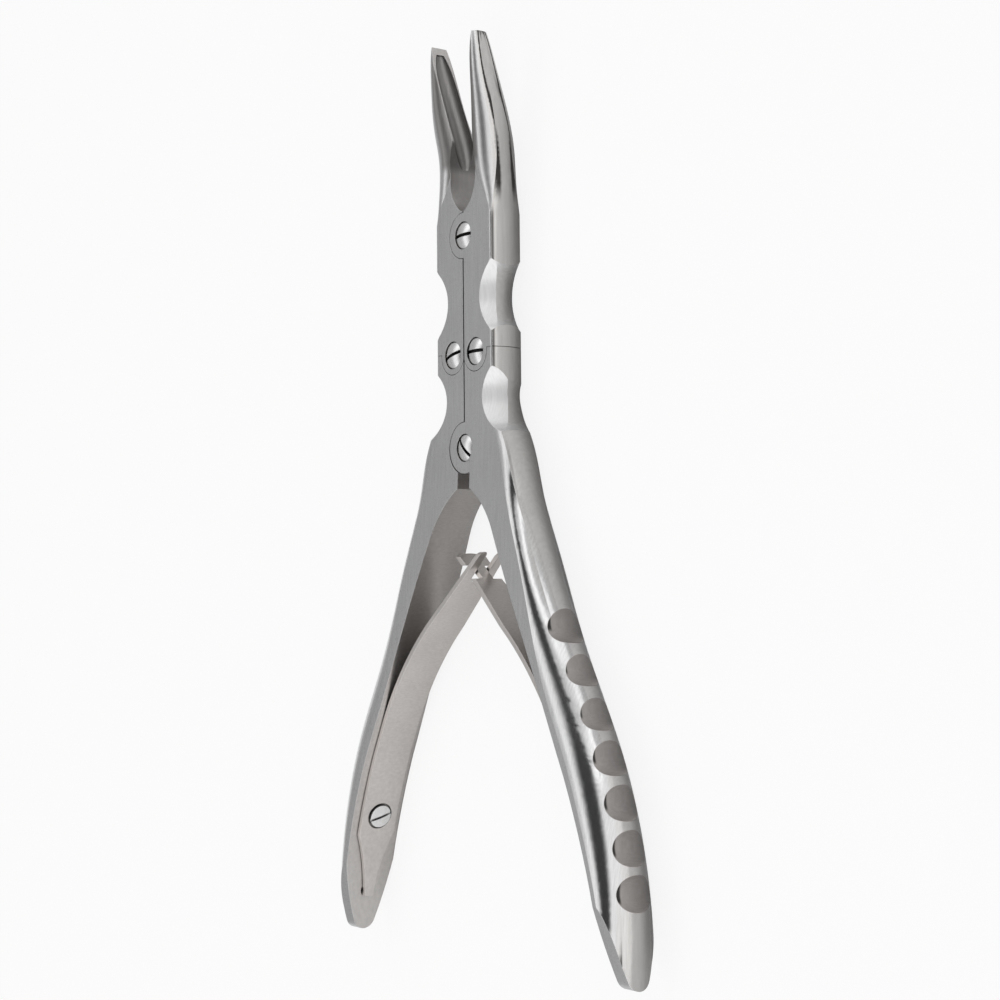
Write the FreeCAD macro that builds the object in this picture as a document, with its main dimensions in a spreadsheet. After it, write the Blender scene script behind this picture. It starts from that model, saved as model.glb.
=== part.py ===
import FreeCAD, Part
import os
import re

import Sketcher

# Double-action bone rongeur. Two jaws and two handles make a compound lever:
# the handles turn on each other at the handle pivot, the jaws at the jaw pivot,
# and each jaw is linked to the handle of its own side by a link screw.
# X runs across the instrument, Y along it towards the jaws, Z out of its front.
# The shapes are drawn from the handle pivot at half thickness, and every body
# is then placed so that the origin is the centre of the footprint, on the table.
# Lengths are in millimetres and angles in degrees.

SIZES = {
    # pivots, measured from the handle pivot
    "link_x": 5.04,
    "link_y": 24.7,
    "jaw_pivot_y": 55.7,
    # joint block, cut in two layers at half thickness
    "joint_half": 4.8,
    "lap_gap": 0.1,
    "centre_gap": 0.5,
    "split_rise": 0.5,
    "split_gap": 0.12,
    "block_flat": 11.8,
    "block_side": 12.4,
    "block_side_half": 4.55,
    "block_bulge": 1.0,
    "block_bevel": 0.05,
    "block_foot": 16,
    "block_head": 60,
    "jaw_lobe": 6.0,
    "handle_lobe": 6.7,
    "link_lobe": 5.1,
    "recess_clear": 0.15,
    # jaws
    "jaw_swing": 10,
    "jaw_reach": 51.6,
    "jaw_tip_half": 2.55,
    "jaw_tip_bulge": 2.2,
    "jaw_tip_lift": 5.5,
    "jaw_tip_spare": 0.5,
    "rim_start": 25.9,
    "rim_bulge": 0.35,
    "neck_x": 5.6,
    "neck_y": 15.7,
    "neck_foot_x": 0.8,
    "neck_foot_y": 6.5,
    "neck_bulge": 1.5,
    # handles
    "handle_reach": 131,
    "slot_half": 2.7,
    "throat_y": -10.6,
    "spread_x": 13.8,
    "spread_y": -22.3,
    "grip_x": 44.2,
    "grip_y": -82,
    "end_x": 58.2,
    "throat_bulge": 1.2,
    "grip_bulge": 2.0,
    "limb_swell": 0.003,
    "end_shoulder": 24,
    "end_tip": 2.3,
    "end_half": 8.3,
    "end_tip_half": 3.2,
    "end_side_bulge": 0.7,
    "end_tip_bulge": 2.2,
    # waists ground into the outer sides, and the facets across their front corners
    "upper_waist_y": 38.6,
    "upper_waist_x": 10.4,
    "upper_wheel": 11.5,
    "upper_crown": 3.6,
    "lower_waist_y": 12.6,
    "lower_waist_x": 12.7,
    "lower_wheel": 12.5,
    "lower_crown": 1.4,
    "facet_turn": 45,
    "upper_facet": 8.4,
    "upper_facet_wheel": 13,
    "lower_facet": 9.0,
    "lower_facet_wheel": 11,
    "wheel_half": 6,
    # finger dimples along the outer side of each grip
    "dimple_first": -46.6,
    "dimple_pitch": 10.3,
    "dimple_depth": 2.2,
    "dimple_wheel": 5.5,
    "dimple_step": 2.4,
    # joint screws
    "screw_head": 3.5,
    "screw_rim": 1.3,
    "screw_edge": 0.95,
    "screw_dome": 0.85,
    "screw_seat_clear": 0.15,
    "screw_shank": 2.3,
    "screw_thread": 2.0,
    "screw_bore_clear": 0.08,
    "thread_clear": 0.02,
    "screw_slot": 0.9,
    "screw_slot_depth": 1.4,
    "handle_slot_angle": 135,
    "jaw_slot_angle": 2,
    "left_slot_angle": 14,
    "right_slot_angle": 0,
    # leaf springs
    "spring_thick": 1.3,
    "spring_seat_gap": 0.12,
    "spring_half": 5.6,
    "spring_tip_half": 4.2,
    "spring_taper_y": -46,
    "spring_leave_y": -75,
    "spring_lean": 49.5,
    "spring_cross_y": -31.9,
    "spring_past": 7.2,
    "spring_corner": 1.0,
    "spring_tail_y": -121.6,
    "tail_start_y": -104,
    "tail_half": 1.4,
    "tail_bulge": 0.8,
    "fork_slot_half": 2.0,
    "fork_slot_bulge": 1.2,
    "fork_slot_below": 1.9,
    "neck_half": 1.6,
    "neck_below": 2.1,
    "neck_above": 1.4,
    # spring screws, and the hole in each grip that the tail of the spring hooks into
    "spring_screw_turn": 18.7,
    "spring_screw_head": 3.2,
    "spring_screw_edge": 1.1,
    "spring_screw_dome": 0.35,
    "spring_screw_seat": 3.75,
    "spring_screw_sink": 0.55,
    "spring_screw_shank": 1.6,
    "spring_screw_length": 4.2,
    "spring_screw_slot": 0.7,
    "spring_screw_slot_depth": 0.7,
    "hole_spare": 0.3,
    "hook_turn": 10.9,
    "hook_hole": 1.95,
    "hook_clear": 0.8,
    "hook_depth": 2.2,
}

# The edges of the joint block, the same in a handle and a jaw where they meet.
BLOCK_EDGES = ("block_flat", "joint_half", "block_side", "block_side_half", "block_bulge", "block_bevel")

# Cross-sections of a handle, from the split down to the end: how far along it
# lies, the edge of the front flat and the half height there, the same two for the
# edge of the outer side, how far the outer side and the bevels bulge, and a line
# inside the metal. The lower ones lie at a share of the handle's reach.
HANDLE_SECTIONS = {
    "split": ("split_y-split_gap/2", *BLOCK_EDGES, -1),
    "block": ("block_foot", *BLOCK_EDGES, -1),
    "waist": (8, 12.2, 4.82, 13.2, 4.55, 1.0, 0.05, -1),
    "pivot": (0, 15.0, 4.95, 17.4, 4.6, 1.0, 0.1, -1),
    "throat": (-10, 17.9, 5.35, 20.7, 4.5, 1.1, 0.2, -1),
    "yoke": (-22, 22.1, 6.2, 25.3, 4.1, 1.3, 0.45, 4),
    "fork": (-36, 27.5, 6.9, 31.2, 3.8, 1.6, 0.6, 12),
    "leaf": ("-0.4*handle_reach", 32.6, 7.2, 39.2, 3.9, 1.8, 0.7, 20),
    "swell": ("-0.535*handle_reach", 40.4, 7.55, 48.6, 4.2, 2.0, 0.8, 29),
    "grip": ("-0.69*handle_reach", 49.6, 7.85, 56.8, 4.4, 2.0, 0.8, 37),
    "heel": ("-0.84*handle_reach", 55.6, 7.7, 60.8, 4.4, 1.7, 0.7, 43.5),
    "end": ("-handle_reach", 58.6, 7.5, 61.2, 4.5, 1.3, 0.5, 48),
    "overrun": ("-1.17*handle_reach", 60.5, 7.3, 61.2, 4.5, 1.0, 0.4, 52),
}

# Cross-sections of a jaw, from the split up to the tip, with the height of its
# middle in front of the joint's own, because the jaws curve to the front.
JAW_SECTIONS = {
    "split": ("split_y+split_gap/2", *BLOCK_EDGES, -1, 0),
    "pivot": ("block_head", *BLOCK_EDGES, -1, 0),
    "root": (65, 9.8, 4.8, 12.4, 3.8, 0.9, 0.35, 0, 0),
    "neck": (70, 6.7, 4.75, 12.4, 3.0, 0.6, 1.2, 3, 0),
    "heel": (76, 4.9, 4.4, 12.3, 2.4, 0.4, 2.0, 3.5, 0.15),
    "cup": (83, 5.0, 3.7, 12.7, 2.0, 0.2, 2.3, 3.6, 1.3),
    "bite": (90, 6.2, 3.25, 12.4, 1.6, 0.15, 2.1, 4.9, 2.75),
    "taper": (98, 7.5, 3.2, 11.4, 1.2, 0.12, 1.4, 6.3, 4.2),
    "nose": (103.5, 8.5, 2.95, 10.9, 0.9, 0.1, 0.8, 7.3, 5.1),
    "tip": ("jaw_pivot_y+jaw_reach+jaw_tip_spare", 9.2, 2.2, 10.2, 0.6, 0.05, 0.3, 8.2, 5.7),
}

# Hollow of a jaw: how far along, radius, and the height of its middle.
CUP_SECTIONS = {
    "start": (74.5, 1.2, 0.1, 1.6),
    "heel": (80.5, 3.0, 0.8, 0.3),
    "mid": (88, 3.1, 2.3, 0),
    "taper": (96, 2.9, 3.9, 0),
    "nose": (101.5, 2.4, 4.9, 0),
    "tip": (105.4, 1.2, 5.5, 0),
}
SECTION_MEASURES = ("along", "flat", "flat_half", "side", "side_half", "bulge", "bevel", "inner", "lift")
CUP_MEASURES = ("along", "radius", "lift", "inset")


# Sizes that follow from the ones above.
DERIVED = {
    "split_y": "(link_y + split_rise)",
    "layer": "(joint_half - lap_gap / 2)",
    "origin_y": "((handle_reach - end_tip + end_tip_bulge - jaw_pivot_y - jaw_reach) / 2)",
    "origin_z": "(handle_grip_flat_half + limb_swell)",
    "rim_slope": "tan(jaw_swing * 1 deg)",
    # the straight length of a grip's inner edge
    "handle_slope": "((grip_x - spread_x) / (spread_y - grip_y))",
    "handle_cos": "(1 / sqrt(1 + handle_slope ^ 2))",
    "handle_sin": "(handle_slope * handle_cos)",
    # the curved length below it
    "curve_chord": "sqrt((end_x - grip_x) ^ 2 + (handle_reach + grip_y) ^ 2)",
    "curve_radius": "(curve_chord ^ 2 / (8 * grip_bulge) + grip_bulge / 2)",
    "curve_rise": "((curve_radius - grip_bulge) / curve_chord)",
    "curve_x": "((grip_x + end_x) / 2 - curve_rise * (handle_reach + grip_y))",
    "curve_y": "((grip_y - handle_reach) / 2 - curve_rise * (end_x - grip_x))",
    # the spring's free length, from where it leaves the grip to its tip
    "spring_slope": "tan(spring_lean * 1 deg)",
    "spring_cos": "cos(spring_lean * 1 deg)",
    "spring_sin": "sin(spring_lean * 1 deg)",
    "spring_mid": "(spring_seat_gap + spring_thick / 2)",
    "bend_rise": "(spring_cross_y * spring_slope - spread_x - spread_y * handle_slope + spring_mid / handle_cos)",
    "bend_y": "(bend_rise / (spring_slope - handle_slope))",
    "bend_x": "((spring_cross_y - bend_y) * spring_slope)",
    "bend_reach": "((bend_y - spring_leave_y) / handle_cos)",
    "bend_turn": "(spring_lean - atan(handle_slope) / 1 deg)",
    "bend_radius": "(bend_reach / tan(bend_turn / 2 * 1 deg))",
    "leave_x": "(bend_x + bend_reach * handle_sin)",
    "rise_x": "(bend_x - bend_reach * spring_sin)",
    "rise_y": "(bend_y + bend_reach * spring_cos)",
    "spring_tip_y": "(spring_cross_y + spring_past * spring_cos)",
    "spring_tip_x": "(-spring_past * spring_sin)",
    "turn_x": "cos(spring_screw_turn * 1 deg)",
    "turn_y": "sin(spring_screw_turn * 1 deg)",
}


def name_sections(part, table, measures):
    """Names each measure of each section of a part; a text one follows from other sizes."""
    for place, row in table.items():
        for measure, size in zip(measures, row):
            named = DERIVED if isinstance(size, str) else SIZES
            named[part + "_" + place + "_" + measure] = "(" + size + ")" if named is DERIVED else size


name_sections("handle", HANDLE_SECTIONS, SECTION_MEASURES)
name_sections("jaw", JAW_SECTIONS, SECTION_MEASURES)
name_sections("hollow", CUP_SECTIONS, CUP_MEASURES)

doc = FreeCAD.newDocument("rongeur")
sheet = doc.addObject("Spreadsheet::Sheet", "Sizes")
for row, (alias, number) in enumerate(SIZES.items(), start=1):
    sheet.set("A" + str(row), alias)
    sheet.set("B" + str(row), str(number))
    sheet.setAlias("B" + str(row), alias)
doc.recompute()
CUTS = []


def bound(expression):
    """The expression with derived sizes written out and cells named in full."""
    while re.search(r"\b(" + "|".join(DERIVED) + r")\b", expression):
        expression = re.sub(r"\b(" + "|".join(DERIVED) + r")\b", lambda m: DERIVED[m.group(1)], expression)
    return re.sub(r"\b[a-z][a-z_]+\b", lambda m: "Sizes." + m.group(0) if m.group(0) in SIZES else m.group(0), expression)


def value(expression):
    """The number that an expression gives now."""
    return float(sheet.evalExpression(bound(expression)))


def placing(x, y, z, axis, angle):
    """An expression for a placement: a point, then a turn about an axis."""
    base = "vector(" + x + "; " + y + "; " + z + ")"
    return "placement(" + base + "; rotation(vector(" + axis + "); " + angle + "))"


def new_body(label, x="0", y="0", z="0", axis="0; 0; 1", angle="0"):
    """An empty body, placed so that the part stands at its origin."""
    body = doc.addObject("PartDesign::Body", label)
    body.Label = label
    body.setExpression("Placement", bound(placing(x, y + "+origin_y", z + "+origin_z", axis, angle)))
    return body


def sketch_on(body, name, plane, lift="0", across="0", axis="0; 0; 1", angle="0"):
    """A sketch on one of the body's own planes, lifted off it and turned."""
    sketch = body.newObject("Sketcher::SketchObject", name)
    support = [item for item in body.Origin.OriginFeatures if item.Role == plane][0]
    sketch.AttachmentSupport = [(support, "")]
    sketch.MapMode = "FlatFace"
    sketch.setExpression("AttachmentOffset", bound(placing(across, "0", lift, axis, angle)))
    return sketch


def pin(sketch, kind, geometry, point, expression):
    """Holds a point of the sketch at a distance from the sketch's origin."""
    constraint = Sketcher.Constraint(kind, -1, 1, geometry, point, value(expression))
    number = sketch.addConstraint(constraint)
    sketch.setExpression("Constraints[" + str(number) + "]", bound(expression))


def edge_length(corners, index):
    """An expression for the straight distance from one corner to the next."""
    x_start, y_start = corners[index]
    x_end, y_end = corners[(index + 1) % len(corners)]
    return "sqrt((" + x_end + "-(" + x_start + "))^2+(" + y_end + "-(" + y_start + "))^2)"


def closed_loop(sketch, corners, bulges=None, rounds=None):
    """A closed outline through the corners; an edge with a bulge or a radius is an arc."""
    bulges = dict(bulges or {})
    radii = {}
    for index, rise in bulges.items():
        chord = edge_length(corners, index)
        radii[index] = "abs(" + chord + "^2/(8*(" + rise + "))+(" + rise + ")/2)"
    for index, radius in (rounds or {}).items():
        chord = edge_length(corners, index)
        radii[index] = "abs(" + radius + ")"
        span = "sqrt((" + radius + ")^2-" + chord + "^2/4)"
        bulges[index] = "(abs(" + radius + ")-" + span + ")*(" + radius + ")/abs(" + radius + ")"
    points = [FreeCAD.Vector(value(x), value(y), 0) for x, y in corners]
    first = sketch.GeometryCount
    count = len(corners)
    ends = []
    for index in range(count):
        start = points[index]
        end = points[(index + 1) % count]
        if index in bulges:
            rise = value(bulges[index])
            chord = end - start
            normal = FreeCAD.Vector(chord.y, -chord.x, 0).normalize()
            middle = (start + end) * 0.5 + normal * rise
            geometry = sketch.addGeometry(Part.Arc(start, middle, end))
        else:
            geometry = sketch.addGeometry(Part.LineSegment(start, end))
        forward = (sketch.getPoint(geometry, 1) - start).Length < 1e-6
        ends.append((geometry, 1, 2) if forward else (geometry, 2, 1))
    for index in range(count):
        geometry, start, end = ends[index]
        following, next_start, next_end = ends[(index + 1) % count]
        sketch.addConstraint(Sketcher.Constraint("Coincident", geometry, end, following, next_start))
        pin(sketch, "DistanceX", geometry, start, corners[index][0])
        pin(sketch, "DistanceY", geometry, start, corners[index][1])
    for index, radius in radii.items():
        number = sketch.addConstraint(Sketcher.Constraint("Radius", first + index, value(radius)))
        sketch.setExpression("Constraints[" + str(number) + "]", bound(radius))


def circle(sketch, x, y, radius):
    """A circle held by its centre and radius."""
    centre = FreeCAD.Vector(value(x), value(y), 0)
    geometry = sketch.addGeometry(Part.Circle(centre, FreeCAD.Vector(0, 0, 1), value(radius)))
    pin(sketch, "DistanceX", geometry, 3, x)
    pin(sketch, "DistanceY", geometry, 3, y)
    number = sketch.addConstraint(Sketcher.Constraint("Radius", geometry, value(radius)))
    sketch.setExpression("Constraints[" + str(number) + "]", bound(radius))


def extrude(body, kind, name, sketch, length, side="One side", reversed_way=False):
    """Pads or pockets a sketch by a length."""
    feature = body.newObject("PartDesign::" + kind, name)
    feature.Profile = sketch
    feature.SideType = side
    feature.Reversed = reversed_way
    feature.setExpression("Length", bound(length))
    body.Tip = feature
    if kind == "Pocket":
        CUTS.append(feature)
    return feature


def through(body, name, sketch):
    """Pockets a sketch right through the body, both ways."""
    feature = body.newObject("PartDesign::Pocket", name)
    feature.Profile = sketch
    feature.SideType = "Symmetric"
    feature.Type = "ThroughAll"
    body.Tip = feature
    CUTS.append(feature)
    return feature


def loft(body, kind, name, sections):
    """Lofts through the sections, adding or cutting."""
    feature = body.newObject("PartDesign::" + kind, name)
    feature.Profile = sections[0]
    feature.Sections = sections[1:]
    body.Tip = feature
    if kind == "SubtractiveLoft":
        CUTS.append(feature)
    return feature


def forging(body, part, side, table, length):
    """The outside of a piece: a straight block as long as the first stretch, then a smooth limb."""
    sections = [ground_section(body, part, place, side) for place in table]
    extrude(body, "Pad", part + "_block", sections[0], length, reversed_way=part == "jaw")
    loft(body, "AdditiveLoft", part + "_limb", sections[1:])


def ground_section(body, part, place, side):
    """One cross-section: flats front and back, two bevels and the outer side."""
    measure = part + "_" + place + "_"
    lift = measure + "lift" if part == "jaw" else "0"
    sketch = sketch_on(body, part + "_" + place, "XZ_Plane", "-(" + measure + "along)")
    sign = str(side) + "*"
    inner = sign + measure + "inner"
    flat = sign + measure + "flat"
    outer = sign + measure + "side"
    flat_top = "(" + lift + "+" + measure + "flat_half)"
    side_top = "(" + lift + "+" + measure + "side_half)"
    side_low = "(" + lift + "-" + measure + "side_half)"
    flat_low = "(" + lift + "-" + measure + "flat_half)"
    corners = [(inner, flat_low), (flat, flat_low), (outer, side_low)]
    corners += [(outer, side_top), (flat, flat_top), (inner, flat_top)]
    bevel = sign + measure + "bevel"
    closed_loop(sketch, corners, {1: bevel, 2: sign + measure + "bulge", 3: bevel})
    return sketch


def wheel_cut(body, name, side, x, y, radius, crown):
    """Grinds the outer side with a waisted wheel whose axle lies along Z."""
    across = str(side) + "*(" + x + ")"
    sketch = sketch_on(body, name + "_profile", "XZ_Plane", "-(" + y + ")", across)
    inward = str(-side) + "*"
    rim = inward + "(" + radius + "+" + crown + ")"
    corners = [("0", "-wheel_half"), (rim, "-wheel_half"), (rim, "wheel_half"), ("0", "wheel_half")]
    closed_loop(sketch, corners, {1: str(side) + "*(" + crown + ")"})
    feature = body.newObject("PartDesign::Groove", name)
    feature.Profile = sketch
    feature.ReferenceAxis = (sketch, ["V_Axis"])
    feature.Angle = 360
    body.Tip = feature
    CUTS.append(feature)


def facet_cut(body, name, side, y, turn, depth, radius):
    """Grinds a lens-shaped facet across one of the outer corners."""
    angle = str(side) + "*(" + turn + ")"
    sketch = sketch_on(body, name + "_profile", "YZ_Plane", axis="1; 0; 0", angle=angle)
    circle(sketch, y, depth + "+" + radius, radius)
    extrude(body, "Pocket", name, sketch, "3*" + radius, "Symmetric")


def waist(body, side, place):
    """The waist of one piece: a scallop in its outer side and a facet across its front corner."""
    y = place + "_waist_y"
    wheel = place + "_wheel"
    wheel_cut(body, place + "_waist", side, place + "_waist_x+" + wheel, y, wheel, place + "_crown")
    facet_cut(body, place + "_facet_cut", side, y, "facet_turn", place + "_facet", place + "_facet_wheel")


def lobe(body, name, x, y, radius, front):
    """A round lobe in the front or the back layer."""
    plane = "lap_gap/2" if front else "-lap_gap/2"
    sketch = sketch_on(body, name + "_outline", "XY_Plane", plane)
    circle(sketch, x, y, radius)
    extrude(body, "Pad", name, sketch, "layer", reversed_way=not front)


def recess(body, name, x, y, radius, front):
    """A round recess for the other piece's lobe, in the front or the back layer."""
    plane = "-lap_gap/2" if front else "lap_gap/2"
    sketch = sketch_on(body, name + "_outline", "XY_Plane", plane)
    circle(sketch, x, y, radius + "+recess_clear")
    extrude(body, "Pocket", name, sketch, "3*joint_half", reversed_way=front)


def screw_seat(body, name, x, y):
    """Bore and head recess in a front layer."""
    bore = sketch_on(body, name + "_bore_outline", "XY_Plane")
    circle(bore, x, y, "screw_shank+screw_bore_clear")
    through(body, name + "_bore", bore)
    head = sketch_on(body, name + "_seat_outline", "XY_Plane", "joint_half-screw_rim")
    circle(head, x, y, "screw_head+screw_seat_clear")
    extrude(body, "Pocket", name + "_seat", head, "2*joint_half", reversed_way=True)


def screw_tap(body, name, x, y):
    """Threaded hole in a back layer, drawn at the thread's outer size."""
    bore = sketch_on(body, name + "_tap_outline", "XY_Plane")
    circle(bore, x, y, "screw_thread+thread_clear")
    through(body, name + "_tap", bore)


def crest(y):
    """How far out the crest of a handle's outer side lies at a place along it."""
    places = ("leaf", "swell", "grip", "heel")
    terms = []
    for place in places:
        term = "(handle_" + place + "_side+handle_" + place + "_bulge)"
        for other in places:
            if other != place:
                span = "(handle_" + place + "_along-handle_" + other + "_along)"
                term += "*((" + y + ")-handle_" + other + "_along)/" + span
        terms.append(term)
    return "(" + "+".join(terms) + ")"


def on_grip(body, name, side, turn, offset):
    """A sketch facing the grip's inner edge, at an offset from it."""
    radius = "(curve_radius-(" + offset + "))"
    x = str(side) + "*(curve_x+" + radius + "*cos((" + turn + ")*1deg))"
    y = "curve_y+" + radius + "*sin((" + turn + ")*1deg)"
    angle = str(side) + "*(" + turn + ")"
    return sketch_on(body, name, "YZ_Plane", x, y, "0; 1; 0", angle)


def grip_hole(body, name, side, turn, radius, depth):
    """A blind hole square into the inner edge of a grip."""
    hole = on_grip(body, name + "_outline", side, turn, "spring_thick")
    circle(hole, "0", "0", radius)
    extrude(body, "Pocket", name, hole, depth + "+spring_thick", reversed_way=side > 0)


def handle(label, side):
    """A handle; the right one has its pivot lobe in the front layer."""
    sign = str(side) + "*"
    front = side > 0
    body = new_body(label)
    forging(body, "handle", side, HANDLE_SECTIONS, "handle_split_along-block_foot")
    link = (sign + "link_x", "link_y")
    lobe(body, "link_tongue", link[0], link[1], "link_lobe", False)
    recess(body, "link_recess", link[0], link[1], "link_lobe", True)

    inner = sketch_on(body, "inner_edge", "XY_Plane")
    half_gap = sign + "centre_gap/2"
    slot = sign + "slot_half"
    far = "-" + sign + "grip_x"
    corners = [(half_gap, "split_y+link_lobe"), (half_gap, "-handle_lobe/2"), (slot, "-handle_lobe/2")]
    corners += [(slot, "throat_y"), (sign + "spread_x", "spread_y"), (sign + "grip_x", "grip_y")]
    corners += [(sign + "end_x", "-handle_reach"), (sign + "end_x", "-handle_reach-joint_half")]
    corners += [(far, "-handle_reach-joint_half"), (far, "split_y+link_lobe")]
    closed_loop(inner, corners, {3: "-" + sign + "throat_bulge", 5: "-" + sign + "grip_bulge"})
    through(body, "inner_side", inner)

    seat = "(spring_seat_gap+spring_thick-spring_screw_sink)"
    depth = "spring_screw_length-" + seat + "+hole_spare"
    grip_hole(body, "spring_tap", side, "spring_screw_turn", "spring_screw_shank+thread_clear", depth)
    grip_hole(body, "hook_hole", side, "hook_turn", "hook_hole", "hook_depth+hole_spare")

    lobe(body, "pivot_lobe", "0", "0", "handle_lobe", front)
    recess(body, "pivot_recess", "0", "0", "handle_lobe", not front)
    waist(body, side, "lower")

    rounding = sketch_on(body, "end_outline", "YZ_Plane")
    shoulder = "end_shoulder-handle_reach"
    tip = "end_tip-handle_reach"
    beyond = "-1.2*handle_reach"
    wide = "2*end_half"
    corners = [(shoulder, wide), (shoulder, "end_half"), (tip, "end_tip_half"), (tip, "-end_tip_half")]
    corners += [(shoulder, "-end_half"), (shoulder, "-" + wide), (beyond, "-" + wide), (beyond, wide)]
    arcs = {1: "end_side_bulge", 2: "end_tip_bulge", 3: "end_side_bulge"}
    closed_loop(rounding, corners, arcs)
    through(body, "end_rounding", rounding)

    for number in range(7):
        y = "dimple_first-" + str(number) + "*dimple_pitch"
        rise = "((" + crest(y + "-dimple_step") + "-" + crest(y + "+dimple_step") + ")/(2*dimple_step))"
        reach = "(dimple_wheel-dimple_depth)/sqrt(1+" + rise + "^2)"
        dimple = sketch_on(body, "dimple_outline", "XY_Plane")
        circle(dimple, sign + "(" + crest(y) + "+" + reach + ")", y + "+" + reach + "*" + rise, "dimple_wheel")
        through(body, "dimple", dimple)

    if front:
        screw_seat(body, "pivot", "0", "0")
    else:
        screw_tap(body, "pivot", "0", "0")
    screw_tap(body, "link", link[0], link[1])
    return body


def jaw(label, side):
    """A jaw; the right one has its pivot lobe in the front layer."""
    sign = str(side) + "*"
    front = side > 0
    body = new_body(label)
    forging(body, "jaw", side, JAW_SECTIONS, "block_head-jaw_split_along")
    link = (sign + "link_x", "link_y")
    lobe(body, "link_tab", link[0], link[1], "link_lobe", True)
    recess(body, "link_recess", link[0], link[1], "link_lobe", False)

    inner = sketch_on(body, "inner_edge", "XY_Plane")
    half_gap = sign + "centre_gap/2"
    foot = "jaw_pivot_y+neck_foot_y"
    tip = "jaw_pivot_y+jaw_reach+neck_x"
    corners = [(half_gap, "link_y-link_lobe-lap_gap"), (half_gap, foot), (sign + "neck_foot_x", foot)]
    corners += [(sign + "neck_x", "jaw_pivot_y+neck_y")]
    corners += [(sign + "rim_start*rim_slope", "jaw_pivot_y+rim_start")]
    corners += [(sign + "(jaw_reach+neck_x)*rim_slope", tip)]
    corners += [("-" + sign + "neck_x", tip), ("-" + sign + "neck_x", "link_y-link_lobe-lap_gap")]
    closed_loop(inner, corners, {2: sign + "neck_bulge", 3: sign + "rim_bulge"})
    through(body, "inner_side", inner)

    rounding = sketch_on(body, "tip_outline", "YZ_Plane")
    shoulder = "jaw_pivot_y+jaw_reach-jaw_tip_bulge"
    wide = "3*joint_half"
    corners = [(shoulder, wide), (shoulder, "jaw_tip_lift+jaw_tip_half"), (shoulder, "jaw_tip_lift-jaw_tip_half")]
    corners += [(shoulder, "-" + wide), (tip, "-" + wide), (tip, wide)]
    closed_loop(rounding, corners, {1: "-jaw_tip_bulge"})
    through(body, "tip_rounding", rounding)

    lobe(body, "pivot_lobe", "0", "jaw_pivot_y", "jaw_lobe", front)
    recess(body, "pivot_recess", "0", "jaw_pivot_y", "jaw_lobe", not front)
    waist(body, side, "upper")

    hollow = []
    for place in CUP_SECTIONS:
        measure = "hollow_" + place + "_"
        cut = sketch_on(body, "hollow_" + place, "XZ_Plane", "-(" + measure + "along)")
        x = sign + "((" + measure + "along-jaw_pivot_y)*rim_slope+" + measure + "inset)"
        circle(cut, x, measure + "lift", measure + "radius")
        hollow.append(cut)
    loft(body, "SubtractiveLoft", "bite_hollow", hollow)

    if front:
        screw_seat(body, "pivot", "0", "jaw_pivot_y")
    else:
        screw_tap(body, "pivot", "0", "jaw_pivot_y")
    screw_seat(body, "link", link[0], link[1])
    return body


def line_point(side, x, y, normal_x, normal_y, offset):
    """A point at an offset from another, along a normal given by two numbers."""
    across = str(side) + "*(" + x + "+(" + offset + ")*" + normal_x + ")"
    return (across, y + "+(" + offset + ")*" + normal_y)


def curve_point(side, y, offset):
    """A point at a given place along the curved length of a grip's inner edge."""
    radius = "(curve_radius-(" + offset + "))"
    span = "sqrt(" + radius + "^2-(" + y + "-curve_y)^2)"
    return (str(side) + "*(curve_x+" + span + ")", y)


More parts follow.
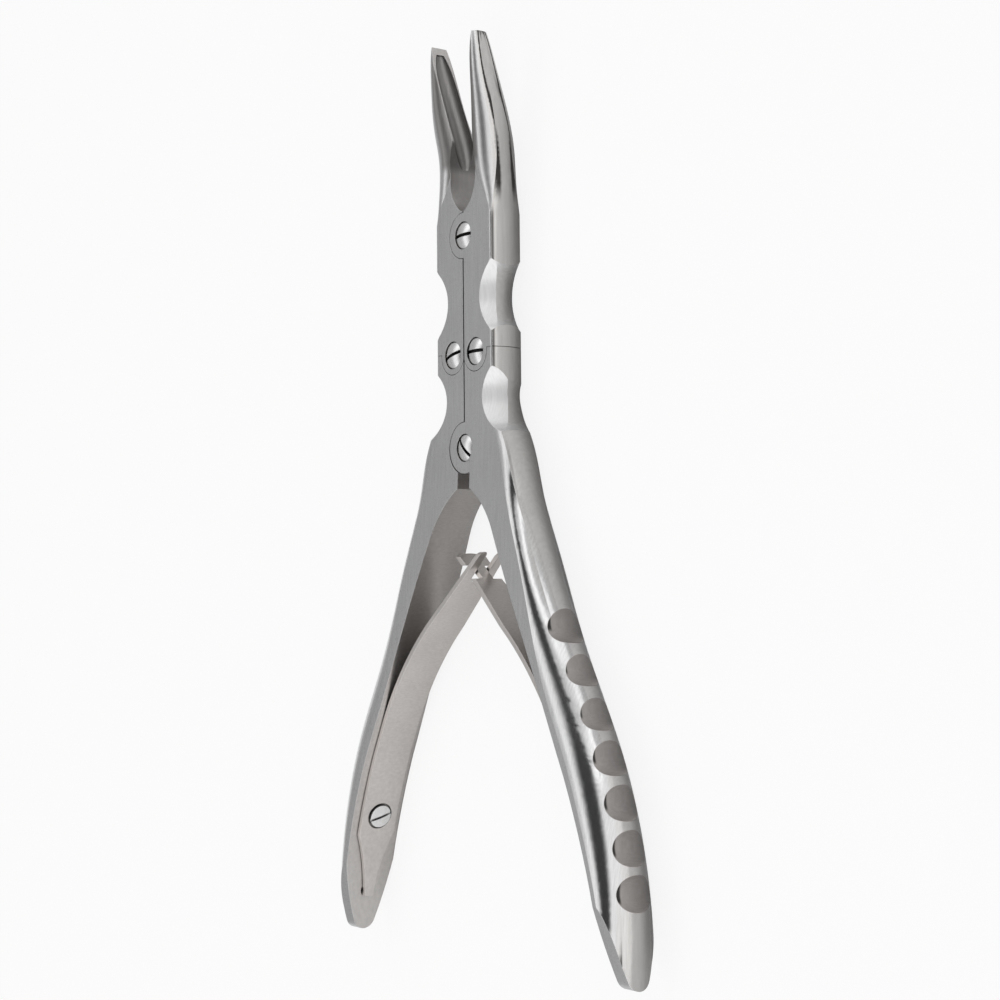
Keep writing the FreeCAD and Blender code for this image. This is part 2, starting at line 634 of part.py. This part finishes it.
def spring(label, side):
    """A leaf spring; the left one ends in a fork, the right one in a head with a neck."""
    sign = str(side) + "*"
    body = new_body(label)
    near = "spring_seat_gap"
    far = "spring_seat_gap+spring_thick"
    half = "spring_thick/2"
    band = sketch_on(body, "band", "XY_Plane")
    end_x = "spring_tip_x-spring_thick*spring_sin"
    end_y = "spring_tip_y+spring_thick*spring_cos"
    corners = [
        line_point(side, end_x, end_y, "spring_cos", "spring_sin", half),
        line_point(side, "rise_x", "rise_y", "spring_cos", "spring_sin", half),
        line_point(side, "leave_x", "spring_leave_y", "handle_cos", "handle_sin", half),
        line_point(side, "grip_x", "grip_y", "handle_cos", "handle_sin", "-" + near),
        curve_point(side, "spring_tail_y", near),
        curve_point(side, "spring_tail_y", far),
        line_point(side, "grip_x", "grip_y", "handle_cos", "handle_sin", "-(" + far + ")"),
        line_point(side, "leave_x", "spring_leave_y", "handle_cos", "handle_sin", "-" + half),
        line_point(side, "rise_x", "rise_y", "spring_cos", "spring_sin", "-" + half),
        line_point(side, end_x, end_y, "spring_cos", "spring_sin", "-" + half),
    ]
    rounds = {
        1: "-" + sign + "(bend_radius+" + half + ")",
        3: "-" + sign + "(curve_radius-" + near + ")",
        5: sign + "(curve_radius-(" + far + "))",
        7: sign + "(bend_radius-" + half + ")",
    }
    closed_loop(band, corners, rounds=rounds)
    extrude(body, "Pad", "band_pad", band, "4*spring_half", "Symmetric")

    top = "spring_tip_y-spring_corner"
    tongue = [("spring_tip_y+spring_half", "3*spring_half"), ("spring_tail_y-spring_half", "3*spring_half")]
    tongue += [("spring_tail_y-spring_half", "tail_half"), ("spring_tail_y", "tail_half")]
    tongue += [("tail_start_y", "spring_half"), ("spring_taper_y", "spring_half")]
    if side < 0:
        tongue += [(top, "spring_tip_half"), (top, "fork_slot_half")]
        tongue += [("spring_cross_y-fork_slot_below", "fork_slot_half")]
        arcs = {6: "-spring_corner", 8: "fork_slot_bulge", 10: "-spring_corner"}
    else:
        tongue += [("spring_cross_y-neck_below", "spring_tip_half")]
        tongue += [("spring_cross_y-neck_below", "neck_half"), ("spring_cross_y+neck_above", "neck_half")]
        tongue += [("spring_cross_y+neck_above", "spring_tip_half"), (top, "spring_tip_half")]
        arcs = {10: "-spring_corner"}
    loop = tongue + [(x, "-" + z) for x, z in reversed(tongue)]
    arcs.update({3: "tail_bulge", len(loop) - 5: "tail_bulge"})
    sides = sketch_on(body, "sides", "YZ_Plane")
    closed_loop(sides, loop, arcs)
    through(body, "side_cut", sides)

    hook = on_grip(body, "hook_outline", side, "hook_turn", "spring_mid")
    circle(hook, "0", "0", "hook_hole-hook_clear")
    extrude(body, "Pad", "hook", hook, "hook_depth+spring_thick/2", reversed_way=side < 0)
    hole = on_grip(body, "screw_hole_outline", side, "spring_screw_turn", "0")
    circle(hole, "0", "0", "spring_screw_shank+screw_bore_clear")
    extrude(body, "Pocket", "screw_hole", hole, "8*spring_thick", "Symmetric")
    seat = on_grip(body, "screw_seat_outline", side, "spring_screw_turn", far + "-spring_screw_sink")
    circle(seat, "0", "0", "spring_screw_seat")
    extrude(body, "Pocket", "screw_seat", seat, "spring_thick", reversed_way=side < 0)
    return body


def screw(label, placed, head, edge, dome, steps, slot, slot_depth):
    """A domed screw along Z, with the seat of its head at height zero."""
    body = new_body(label, *placed)
    profile = sketch_on(body, "turned_profile", "XZ_Plane")
    corners = [("0", edge + "+" + dome)]
    depth = "-(" + steps[-1][1] + ")"
    corners += [("0", depth)]
    for radius, reach in reversed(steps):
        corners += [(radius, "-(" + reach + ")")]
        above = [lower for _, lower in steps if value(lower) < value(reach) - 1e-9]
        corners += [(radius, "-(" + above[-1] + ")" if above else "0")]
    corners += [(head, "0"), (head, edge)]
    last = len(corners) - 1
    crown = "((" + head + ")^2+(" + dome + ")^2)/(2*(" + dome + "))"
    closed_loop(profile, corners, rounds={last: "(" + crown + ")"})
    turned = body.newObject("PartDesign::Revolution", "turned")
    turned.Profile = profile
    turned.ReferenceAxis = (profile, ["V_Axis"])
    turned.Angle = 360
    body.Tip = turned
    driver = sketch_on(body, "driver_outline", "XY_Plane", edge + "+" + dome + "-" + slot_depth)
    reach = "2*" + head
    width = slot + "/2"
    corners = [("-" + reach, "-" + width), (reach, "-" + width), (reach, width), ("-" + reach, width)]
    closed_loop(driver, corners)
    extrude(body, "Pocket", "driver_slot", driver, reach, reversed_way=True)
    return body


def joint_screw(label, x, y, slot_angle):
    """A screw that bears in a front layer and is threaded into the back one."""
    placed = (x, y, "joint_half-screw_rim", "0; 0; 1", slot_angle)
    steps = [("screw_shank", "joint_half-screw_rim"), ("screw_thread", "2*joint_half-screw_rim")]
    return screw(label, placed, "screw_head", "screw_edge", "screw_dome", steps, "screw_slot", "screw_slot_depth")


def spring_screw(label, side):
    """A screw that holds a leaf spring against the inner edge of a grip."""
    radius = "(curve_radius-spring_seat_gap-spring_thick+spring_screw_sink)"
    x = str(side) + "*(curve_x+" + radius + "*turn_x)"
    y = "curve_y+" + radius + "*turn_y"
    axis = "turn_y; " + str(-side) + "*turn_x; 0"
    placed = (x, y, "0", axis, "90")
    steps = [("spring_screw_shank", "spring_screw_length")]
    sizes = ("spring_screw_head", "spring_screw_edge", "spring_screw_dome")
    return screw(label, placed, *sizes, steps, "spring_screw_slot", "spring_screw_slot_depth")


parts = [
    handle("left_handle", -1),
    handle("right_handle", 1),
    jaw("left_jaw", -1),
    jaw("right_jaw", 1),
    joint_screw("handle_pivot_screw", "0", "0", "handle_slot_angle"),
    joint_screw("jaw_pivot_screw", "0", "jaw_pivot_y", "jaw_slot_angle"),
    joint_screw("left_link_screw", "-link_x", "link_y", "left_slot_angle"),
    joint_screw("right_link_screw", "link_x", "link_y", "right_slot_angle"),
    spring("left_leaf_spring", -1),
    spring("right_leaf_spring", 1),
    spring_screw("left_spring_screw", -1),
    spring_screw("right_spring_screw", 1),
]
doc.recompute()

broken = [item.Name for item in doc.Objects if "Invalid" in item.State or "Error" in item.State]
idle = [cut.Name for cut in CUTS if cut.BaseFeature.Shape.Volume - cut.Shape.Volume < 0.01]
if broken or idle:
    raise RuntimeError("did not build: " + str(broken) + ", cut nothing: " + str(idle))
os.makedirs("parts", exist_ok=True)
for body in parts:
    shape = body.Shape
    if shape.isNull() or not shape.isValid():
        raise RuntimeError(body.Label + " has no valid shape")
    shape.exportStep("parts/" + body.Label + ".step")
    print(body.Label, len(shape.Solids), round(shape.Volume, 2), shape.BoundBox)
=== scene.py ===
import math
from types import SimpleNamespace

import bmesh
import bpy
from mathutils import Matrix, Vector


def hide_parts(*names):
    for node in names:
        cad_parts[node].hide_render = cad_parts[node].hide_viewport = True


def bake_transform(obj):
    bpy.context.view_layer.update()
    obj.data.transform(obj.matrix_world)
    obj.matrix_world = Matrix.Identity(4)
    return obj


# A bone rongeur lying on its back on a white table, seen obliquely from its right.
# Lengths are in metres, in the same frame as the solids.

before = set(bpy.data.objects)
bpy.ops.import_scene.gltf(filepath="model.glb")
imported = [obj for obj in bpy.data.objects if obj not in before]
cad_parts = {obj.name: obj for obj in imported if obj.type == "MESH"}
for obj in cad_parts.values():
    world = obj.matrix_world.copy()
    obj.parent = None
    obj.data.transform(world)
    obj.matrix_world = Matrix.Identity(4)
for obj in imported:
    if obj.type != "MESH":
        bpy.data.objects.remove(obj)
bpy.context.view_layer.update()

# Places that the solids share: the handle pivot, the jaw pivot above it, and the slope
# of the open jaws' rims.
HANDLE_PIVOT = Vector((0, 0.0118, 0.007853))
JAW_PIVOT_Y = 0.0557
RIM_SLOPE = math.tan(math.radians(10))

# Finger dimples: how many, the first one's place along the grip, their spacing, how
# deep they are ground, the wheel's radius, and how far off its cut the mask fades.
DIMPLES = 7
DIMPLE_FIRST = -0.0466
DIMPLE_PITCH = 0.0103
DIMPLE_DEPTH = 0.0022
DIMPLE_WHEEL = 0.0055
DIMPLE_FADE = (0.00003, 0.00009)

# The crest of the outer side: how far out it lies at four places along the grip, and
# the step to each side over which its slope is taken.
CREST = ((-0.0524, 0.0410), (-0.070085, 0.0506), (-0.09039, 0.0588), (-0.11004, 0.0625))
CREST_STEP = 0.0024

# The camera was solved from the photograph about the handle pivot.
CAMERA_TURN = math.radians(54.02)
CAMERA_PITCH = math.radians(-3.35)
CAMERA_ROLL = math.radians(-0.53)
CAMERA_AWAY = 0.5141
CAMERA_ACROSS = 0.00544
CAMERA_ALONG = -0.0436
CAMERA_LIFT = 0.0003
CAMERA_LENS = 71.14
CAMERA_SENSOR = 36

WHITE = (1, 1, 1, 1)

# Finishes: satin flats, polished bevels, outer sides and the sides towards the
# gap, then the ground dimples, the jaws' hollows painted dark as shade, the springs
# and the screws, whose slots are painted black as shade.
SATIN = (0.58, 0.58, 0.585, 1)
SATIN_ROUGH = 0.3
POLISHED = (0.68, 0.68, 0.68, 1)
POLISHED_ROUGH = 0.13
OUTER = (0.64, 0.625, 0.61, 1)
OUTER_ROUGH = 0.2
INNER = (0.6, 0.58, 0.565, 1)
INNER_ROUGH = 0.34
GROUND = (0.46, 0.435, 0.42, 1)
GROUND_ROUGH = 0.5
HOLLOW_PAINTED_SHADE = (0.3, 0.29, 0.285, 1)
HOLLOW_ROUGH = 0.42
SPRING_DULL = (0.64, 0.61, 0.59, 1)
SPRING_BRIGHT = (0.7, 0.67, 0.65, 1)
SPRING_ROUGH = 0.3
SPRING_ROUGH_SPREAD = 0.1
SCREW_BRIGHT = (0.85, 0.85, 0.85, 1)
SCREW_ROUGH = 0.22
SCREW_ROUGH_SPREAD = 0.08
SLOT_PAINTED_SHADE = (0.03, 0.03, 0.03, 1)
JAW_BEVEL_ROUGH = 0.33
FACET_ROUGH = 0.36

# Noise: features to the metre along X, Y and Z, and detail. The streaks run along
# the instrument, the grain is fine, and the clouds are broad.
STREAKS = ((3600, 110, 900), 4.0)
GRAIN = ((9000, 700, 9000), 2.0)
CLOUDS = ((70, 70, 70), 3.0)
NOISE_MIDDLE = 0.5

# What the noise changes: the colour's level and how far the streaks and the clouds
# move it, how far the grain moves the roughness, and how the grain stands up.
WEAR_LEVEL = 0.8
WEAR_BY_STREAKS = 0.3
WEAR_BY_CLOUDS = 0.12
ROUGH_BY_GRAIN = 0.2
GRAIN_STRENGTH = 0.1
GRAIN_HEIGHT = 0.00005

# Edges look broken by a small radius, and crevices, which get a painted shade, are looked
# for over a short reach and fade between these two degrees of openness.
EDGE_RADIUS = 0.00018
EDGE_SAMPLES = 4
CREVICE_REACH = 0.0012
CREVICE_SAMPLES = 8
CREVICE_FADE = (0.2, 0.75)

# Painted shades: low on the outer sides, under their front corner, along the side
# of each jaw, and in the seams between pieces.
LOW_SHADE = (0.17, 0.162, 0.157, 1)
LIP_SHADE = (0.06, 0.058, 0.056, 1)
SEAM_SHADE = (0.05, 0.048, 0.046, 1)
CREVICE_SHADE = (0.02, 0.019, 0.018, 1)

# How far the surface faces sideways, from 0 on a flat to 1 on an upright side: where
# each finish or shade begins and where it is full. Below 0 it faces the gap.
BEVEL_TILT = (0.1, 0.2)
SIDE_TILT = (0.74, 0.9)
INNER_TILT = (-0.25, -0.5)
HOLLOW_TILT = (0.15, -0.05)
LOW_TILT = (0.3, 0.8)
LIP_TILT = (0.85, 0.95)
SEAM_STARTS = (0.9, 0.94)
SEAM_ENDS = (0.965, 0.985)

# Where along the instrument, from the handle pivot, the facets lie and the dark
# line ends, and where the hollows and the jaws' line begin past the jaw pivot.
FACETS_START = (0.0, 0.005)
FACETS_END = (0.056, 0.052)
LIP_END = (0.058, 0.064)
HOLLOW_START = (JAW_PIVOT_Y + 0.017, JAW_PIVOT_Y + 0.02)
SEAM_START = (JAW_PIVOT_Y + 0.006, JAW_PIVOT_Y + 0.012)

# How far outside the plane of the rims a hollow's surface lies where its shade
# begins and where it is full.
HOLLOW_DEPTH = (0.00005, 0.0003)

# The joint screws' slots, painted black as shade: the height of their floors, and how far out they lie.
SLOT_FLOOR = 0.0119
SLOT_TOP = SLOT_FLOOR + 0.0003
SLOTS_OUT = (0.012, 0.014)

# The painted dark line under the front corner of the outer sides begins and is full here.
LIP = (0.0115, 0.0121)

# How high up the outer sides the table's shade reaches.
LIT_HEIGHT = 0.0125

# How bright the studio is: the wall to the left, the bright strips, the gap
# between them overhead, and both ends, then the leans from overhead, in degrees,
# between which each passes into the next.
WALL = 0.45
BRIGHT = 1.15
GAP = 0.06
ENDS = 0.6
WALL_TO_STRIP = (-50, -36)
STRIP_TO_GAP = (-26, -4)
GAP_TO_RIGHT = (18, 36)
SIDES_TO_ENDS = (0.4, 0.75)

# The softboxes, one past each end of the instrument: place, size and power.
SOFTBOXES = {
    "softbox_beyond_jaws": ((0.1, 1.1, 0.8), (1.8, 1.4), 4.5),
    "softbox_beyond_grips": ((0.1, -1.1, 0.8), (1.8, 1.4), 7),
}

# The table: half its width, its paint, and how much of it the camera sees as white.
TABLE_HALF = 6.0
TABLE_PAINT = (0.86, 0.86, 0.86, 1)
TABLE_WHITE = 0.86

# The springs' meshes: how near two points are one, up to which angle faces are flat,
# from which angle an edge is sharp, and how the edges are rounded.
SPRING_MERGE = 0.000005
SPRING_FLAT = math.radians(1)
SPRING_EDGE = math.radians(25)
SPRING_ROUND = 0.00014
SPRING_ROUND_ANGLE = math.radians(40)
SPRING_ROUND_STEPS = 2


def add_camera():
    """The photograph's camera, which looks along the table from the right."""
    across = Vector((math.cos(CAMERA_TURN), 0, -math.sin(CAMERA_TURN)))
    ahead = -Vector((math.sin(CAMERA_TURN), 0, math.cos(CAMERA_TURN)))
    along = Vector((0, 1, 0))
    place = HANDLE_PIVOT + Vector((0, 0, CAMERA_LIFT))
    place += -ahead * CAMERA_AWAY + across * CAMERA_ACROSS + along * CAMERA_ALONG
    view = ahead * math.cos(CAMERA_PITCH) - along * math.sin(CAMERA_PITCH)
    up = along * math.cos(CAMERA_PITCH) + ahead * math.sin(CAMERA_PITCH)
    right = across * math.cos(CAMERA_ROLL) + up * math.sin(CAMERA_ROLL)
    top = up * math.cos(CAMERA_ROLL) - across * math.sin(CAMERA_ROLL)
    lens = bpy.data.cameras.new("camera")
    lens.lens = CAMERA_LENS
    lens.sensor_width = CAMERA_SENSOR
    camera = bpy.data.objects.new("camera", lens)
    turn = Matrix((right, top, -view)).transposed().to_4x4()
    camera.matrix_world = Matrix.Translation(place) @ turn
    bpy.context.collection.objects.link(camera)
    bpy.context.scene.camera = camera


def new_material(name):
    """A material with an empty node tree."""
    material = bpy.data.materials.new(name)
    material.use_nodes = True
    tree = material.node_tree
    tree.nodes.clear()
    return material, tree


def node(tree, kind, **values):
    """Adds a node. set_ sets a property, and i0 or an input's name sets or links an input."""
    made = tree.nodes.new(kind)
    for key, value in values.items():
        if key.startswith("set_"):
            setattr(made, key[4:], value)
            continue
        index = int(key[1:]) if key[0] == "i" and key[1:].isdigit() else key.replace("_", " ")
        socket = made.inputs[index]
        if isinstance(value, bpy.types.NodeSocket):
            tree.links.new(value, socket)
        else:
            socket.default_value = value
    return made


def calc(tree, operation, first, second=0.0, third=0.0):
    """One sum on numbers or sockets."""
    return node(tree, "ShaderNodeMath", set_operation=operation, i0=first, i1=second, i2=third).outputs[0]


def product(tree, value, *others):
    """All the values times each other, so that masks count only where all of them do."""
    for other in others:
        value = calc(tree, "MULTIPLY", value, other)
    return value


def inverse(tree, mask):
    """0 where the mask is 1, and 1 where it is 0."""
    return calc(tree, "SUBTRACT", 1.0, mask)


def step(tree, value, low, high):
    """0 up to low, 1 from high on, eased between; the other way round where high is the lower."""
    made = node(tree, "ShaderNodeMapRange", set_interpolation_type="SMOOTHSTEP", i0=value, i1=low, i2=high)
    return made.outputs[0]


def mix(tree, factor, first, second):
    """A number between two others."""
    return node(tree, "ShaderNodeMix", set_data_type="FLOAT", i0=factor, i2=first, i3=second).outputs[0]


def mix_colour(tree, factor, first, second, way="MIX"):
    """A colour between two others, or one times the other."""
    made = node(tree, "ShaderNodeMix", set_data_type="RGBA", set_blend_type=way, i0=factor, i6=first, i7=second)
    return made.outputs[2]


def noise(tree, place, scale, detail):
    """Noise, drawn out along the axes where its scale is low."""
    drawn = node(tree, "ShaderNodeMapping", Vector=place, Scale=scale)
    return node(tree, "ShaderNodeTexNoise", Vector=drawn.outputs[0], Scale=1.0, Detail=detail).outputs[0]


def crest(y):
    """How far out the crest of the outer side lies at a place along the grip."""
    total = 0
    for place, out in CREST:
        term = out
        for other, _ in CREST:
            if other != place:
                term *= (y - other) / (place - other)
        total += term
    return total


def surface(tree):
    """Where a point of the steel lies, which way it faces, and what the noise is there."""
    texture = node(tree, "ShaderNodeTexCoord").outputs
    spot = node(tree, "ShaderNodeSeparateXYZ", Vector=texture["Object"]).outputs
    normal = node(tree, "ShaderNodeSeparateXYZ", Vector=texture["Normal"]).outputs
    tilt = calc(tree, "ABSOLUTE", normal[0])
    at = SimpleNamespace(
        out=calc(tree, "ABSOLUTE", spot[0]),
        along=calc(tree, "SUBTRACT", spot[1], HANDLE_PIVOT.y),
        height=spot[2],
        outward=product(tree, calc(tree, "SIGN", spot[0]), normal[0]),
        off_flat=step(tree, tilt, *BEVEL_TILT),
        off_bevel=step(tree, tilt, *SIDE_TILT),
        streaks=noise(tree, texture["Object"], *STREAKS),
        grain=noise(tree, texture["Object"], *GRAIN),
        clouds=noise(tree, texture["Object"], *CLOUDS),
    )
    at.inside = step(tree, at.outward, *INNER_TILT)
    at.bevel = calc(tree, "SUBTRACT", at.off_flat, at.off_bevel)
    return at


def dimple_mask(tree, at):
    """1 on the ground surface of any finger dimple."""
    nearest = None
    for number in range(DIMPLES):
        y = DIMPLE_FIRST - number * DIMPLE_PITCH
        rise = (crest(y - CREST_STEP) - crest(y + CREST_STEP)) / (2 * CREST_STEP)
        reach = (DIMPLE_WHEEL - DIMPLE_DEPTH) / math.hypot(1, rise)
        across = calc(tree, "SUBTRACT", at.out, crest(y) + reach)
        over = calc(tree, "SUBTRACT", at.along, y + reach * rise)
        square = calc(tree, "MULTIPLY_ADD", across, across, product(tree, over, over))
        off = calc(tree, "ABSOLUTE", calc(tree, "SUBTRACT", calc(tree, "SQRT", square), DIMPLE_WHEEL))
        nearest = off if nearest is None else calc(tree, "MINIMUM", nearest, off)
    return inverse(tree, step(tree, nearest, *DIMPLE_FADE))


def forged(tree, at):
    """Colour and roughness of a forged half: satin flats, polished bevels, outer and inner sides."""
    colour = mix_colour(tree, at.off_flat, SATIN, POLISHED)
    colour = mix_colour(tree, at.off_bevel, colour, OUTER)
    colour = mix_colour(tree, at.inside, colour, INNER)
    rough = mix(tree, at.off_flat, SATIN_ROUGH, POLISHED_ROUGH)
    rough = mix(tree, at.off_bevel, rough, OUTER_ROUGH)
    rough = mix(tree, at.inside, rough, INNER_ROUGH)
    return colour, rough


def shaded(tree, at, colour, rough):
    """Paints shade on a forged half's outer side, low down and under its corner, and dulls the joint's facets.
    """
    low = product(tree, inverse(tree, step(tree, at.height, 0.0, LIT_HEIGHT)), step(tree, at.outward, *LOW_TILT))
    lip = product(
        tree,
        step(tree, at.height, *LIP),
        step(tree, at.outward, *LIP_TILT),
        inverse(tree, step(tree, at.along, *LIP_END)),
    )
    facets = product(tree, step(tree, at.along, *FACETS_START), step(tree, at.along, *FACETS_END), at.bevel)
    # Painted shade: darker low down towards the table, and a dark line under the front corner.
    colour = mix_colour(tree, low, colour, LOW_SHADE)
    colour = mix_colour(tree, lip, colour, LIP_SHADE)
    return colour, mix(tree, facets, rough, FACET_ROUGH)


def handle_finish_and_shade(tree, at):
    """A handle's outer side has ground finger dimples, and painted shade low down and under its corner."""
    colour, rough = forged(tree, at)
    dimples = dimple_mask(tree, at)
    colour = mix_colour(tree, dimples, colour, GROUND)
    rough = mix(tree, dimples, rough, GROUND_ROUGH)
    return shaded(tree, at, colour, rough)


def jaw_finish_and_shade(tree, at):
    """A jaw has painted shade in its hollow, which is also made rougher, and a painted dark line along its outer
    side.
    """
    colour, rough = forged(tree, at)
    rim = product(tree, calc(tree, "SUBTRACT", at.along, JAW_PIVOT_Y), RIM_SLOPE)
    hollow = product(
        tree,
        step(tree, calc(tree, "SUBTRACT", at.out, rim), *HOLLOW_DEPTH),
        step(tree, at.outward, *HOLLOW_TILT),
        step(tree, at.along, *HOLLOW_START),
    )
    # Painted shade: the hollow is coloured dark for the shade that falls in it.
    colour = mix_colour(tree, hollow, colour, HOLLOW_PAINTED_SHADE)
    rough = mix(tree, at.bevel, rough, JAW_BEVEL_ROUGH)
    rough = mix(tree, hollow, rough, HOLLOW_ROUGH)
    colour, rough = shaded(tree, at, colour, rough)
    # Painted shade: a dark line along the jaw's outer side, between its bevel and side.
    seam = product(
        tree,
        step(tree, at.outward, *SEAM_STARTS),
        inverse(tree, step(tree, at.outward, *SEAM_ENDS)),
        step(tree, at.along, *SEAM_START),
    )
    return mix_colour(tree, seam, colour, SEAM_SHADE), rough


def spring_finish(tree, at):
    """A leaf spring is dull and bright in clouds."""
    colour = mix_colour(tree, at.clouds, SPRING_DULL, SPRING_BRIGHT)
    return colour, calc(tree, "MULTIPLY_ADD", at.clouds, SPRING_ROUGH_SPREAD, SPRING_ROUGH)


def screw_finish_and_shade(tree, at):
    """A screw is bright, and painted black down in the slot, as shade, where it is a joint's screw."""
    sunk = inverse(tree, step(tree, at.height, SLOT_FLOOR, SLOT_TOP))
    sunk = product(tree, sunk, inverse(tree, step(tree, at.out, *SLOTS_OUT)))
    # Painted shade: the slot is coloured black for the shade down in it.
    colour = mix_colour(tree, sunk, SCREW_BRIGHT, SLOT_PAINTED_SHADE)
    return colour, calc(tree, "MULTIPLY_ADD", at.clouds, SCREW_ROUGH_SPREAD, SCREW_ROUGH)


def steel(name, finish_and_shade):
    """Stainless steel: a kind of piece's own colours and painted shades, worn in streaks, grained, with painted
    shade in its crevices.
    """
    material, tree = new_material(name)
    at = surface(tree)
    colour, rough = finish_and_shade(tree, at)
    worn = calc(tree, "MULTIPLY_ADD", at.streaks, WEAR_BY_STREAKS, WEAR_LEVEL)
    worn = calc(tree, "MULTIPLY_ADD", calc(tree, "SUBTRACT", at.clouds, NOISE_MIDDLE), WEAR_BY_CLOUDS, worn)
    colour = mix_colour(tree, 1.0, colour, worn, "MULTIPLY")
    # Painted shade in the crevices, darker the more closed they are.
    crevice = node(tree, "ShaderNodeAmbientOcclusion", set_samples=CREVICE_SAMPLES, Distance=CREVICE_REACH)
    colour = mix_colour(tree, step(tree, crevice.outputs["AO"], *CREVICE_FADE), CREVICE_SHADE, colour)
    rough = calc(tree, "MULTIPLY_ADD", calc(tree, "SUBTRACT", at.grain, NOISE_MIDDLE), ROUGH_BY_GRAIN, rough)
    edge = node(tree, "ShaderNodeBevel", set_samples=EDGE_SAMPLES, Radius=EDGE_RADIUS)
    bump = node(
        tree,
        "ShaderNodeBump",
        Strength=GRAIN_STRENGTH,
        Distance=GRAIN_HEIGHT,
        Height=at.grain,
        Normal=edge.outputs[0],
    )
    shader = node(
        tree,
        "ShaderNodeBsdfPrincipled",
        Base_Color=colour,
        Metallic=1.0,
        Roughness=rough,
        Normal=bump.outputs[0],
    )
    node(tree, "ShaderNodeOutputMaterial", Surface=shader.outputs[0])
    return material


def dress(solid, material):
    """Gives a piece its material."""
    solid.data.materials.clear()
    solid.data.materials.append(material)


def add_spring(side, material):
    """A copy of a leaf spring's solid, its mesh tidied and its sharp edges rounded, in place of the solid."""
    hand = "left" if side < 0 else "right"
    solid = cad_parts[hand + "_leaf_spring"]
    leaf = bpy.data.objects.new(hand + "_spring_leaf", solid.data.copy())
    bpy.context.collection.objects.link(leaf)
    shape = bmesh.new()
    shape.from_mesh(leaf.data)
    bmesh.ops.remove_doubles(shape, verts=shape.verts, dist=SPRING_MERGE)
    bmesh.ops.dissolve_limit(shape, angle_limit=SPRING_FLAT, verts=shape.verts, edges=shape.edges)
    bmesh.ops.triangulate(shape, faces=shape.faces)
    for face in shape.faces:
        face.smooth = True
    for edge in shape.edges:
        edge.smooth = edge.calc_face_angle(0) < SPRING_EDGE
    shape.to_mesh(leaf.data)
    shape.free()
    rounded = leaf.modifiers.new("rounded_edges", "BEVEL")
    rounded.width = SPRING_ROUND
    rounded.segments = SPRING_ROUND_STEPS
    rounded.limit_method = "ANGLE"
    rounded.angle_limit = SPRING_ROUND_ANGLE
    dress(leaf, material)
    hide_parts(hand + "_leaf_spring")
    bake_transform(leaf)


def add_floor():
    """A white table top that keeps a soft shadow."""
    mesh = bpy.data.meshes.new("table")
    corners = [(x * TABLE_HALF, y * TABLE_HALF, 0) for x, y in ((-1, -1), (1, -1), (1, 1), (-1, 1))]
    mesh.from_pydata(corners, [], [(0, 1, 2, 3)])
    table = bpy.data.objects.new("table", mesh)
    bpy.context.collection.objects.link(table)
    material, tree = new_material("table_white")
    path = node(tree, "ShaderNodeLightPath")
    paper = node(tree, "ShaderNodeBsdfDiffuse", Color=TABLE_PAINT)
    white = node(tree, "ShaderNodeEmission", Color=WHITE, Strength=1.0)
    share = product(tree, path.outputs["Is Camera Ray"], TABLE_WHITE)
    mixed = node(tree, "ShaderNodeMixShader", i0=share, i1=paper.outputs[0], i2=white.outputs[0])
    node(tree, "ShaderNodeOutputMaterial", Surface=mixed.outputs[0])
    mesh.materials.append(material)


def add_world():
    """Studio surroundings: a grey wall, a bright strip and a dark gap overhead, and white from the right."""
    world = bpy.data.worlds.new("studio")
    bpy.context.scene.world = world
    world.use_nodes = True
    tree = world.node_tree
    tree.nodes.clear()
    place = node(tree, "ShaderNodeTexCoord")
    way = node(tree, "ShaderNodeSeparateXYZ", Vector=place.outputs["Generated"])
    lean = calc(tree, "ARCTAN2", way.outputs[0], way.outputs[2])
    level = mix(tree, step(tree, lean, *map(math.radians, WALL_TO_STRIP)), WALL, BRIGHT)
    level = mix(tree, step(tree, lean, *map(math.radians, STRIP_TO_GAP)), level, GAP)
    level = mix(tree, step(tree, lean, *map(math.radians, GAP_TO_RIGHT)), level, BRIGHT)
    ends = step(tree, calc(tree, "ABSOLUTE", way.outputs[1]), *SIDES_TO_ENDS)
    level = mix(tree, ends, level, ENDS)
    path = node(tree, "ShaderNodeLightPath")
    level = mix(tree, path.outputs["Is Camera Ray"], level, 1.0)
    sky = node(tree, "ShaderNodeBackground", Color=WHITE, Strength=level)
    node(tree, "ShaderNodeOutputWorld", Surface=sky.outputs[0])


def add_softbox(name, place, size, power):
    """A softbox that faces the joint."""
    light = bpy.data.lights.new(name, "AREA")
    light.shape = "RECTANGLE"
    light.size, light.size_y = size
    light.energy = power
    softbox = bpy.data.objects.new(name, light)
    softbox.location = place
    aim = HANDLE_PIVOT - Vector(place)
    softbox.rotation_euler = aim.to_track_quat("-Z", "Y").to_euler()
    bpy.context.collection.objects.link(softbox)


# A screw's name may say spring, jaw or handle too, and a spring's or jaw's doesn't say
# screw, so screws are looked for first.
FINISHES_AND_SHADES = {"screw": screw_finish_and_shade, "spring": spring_finish, "jaw": jaw_finish_and_shade, "handle": handle_finish_and_shade}
steels = {kind: steel(kind + "_steel", finish_and_shade) for kind, finish_and_shade in FINISHES_AND_SHADES.items()}
for solid_name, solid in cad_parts.items():
    kind = next(kind for kind in FINISHES_AND_SHADES if kind in solid_name)
    dress(solid, steels[kind])
for side in (-1, 1):
    add_spring(side, steels["spring"])

add_camera()
add_floor()
add_world()
for softbox_name, (place, size, power) in SOFTBOXES.items():
    add_softbox(softbox_name, place, size, power)
bpy.context.scene.view_settings.view_transform = "Standard"
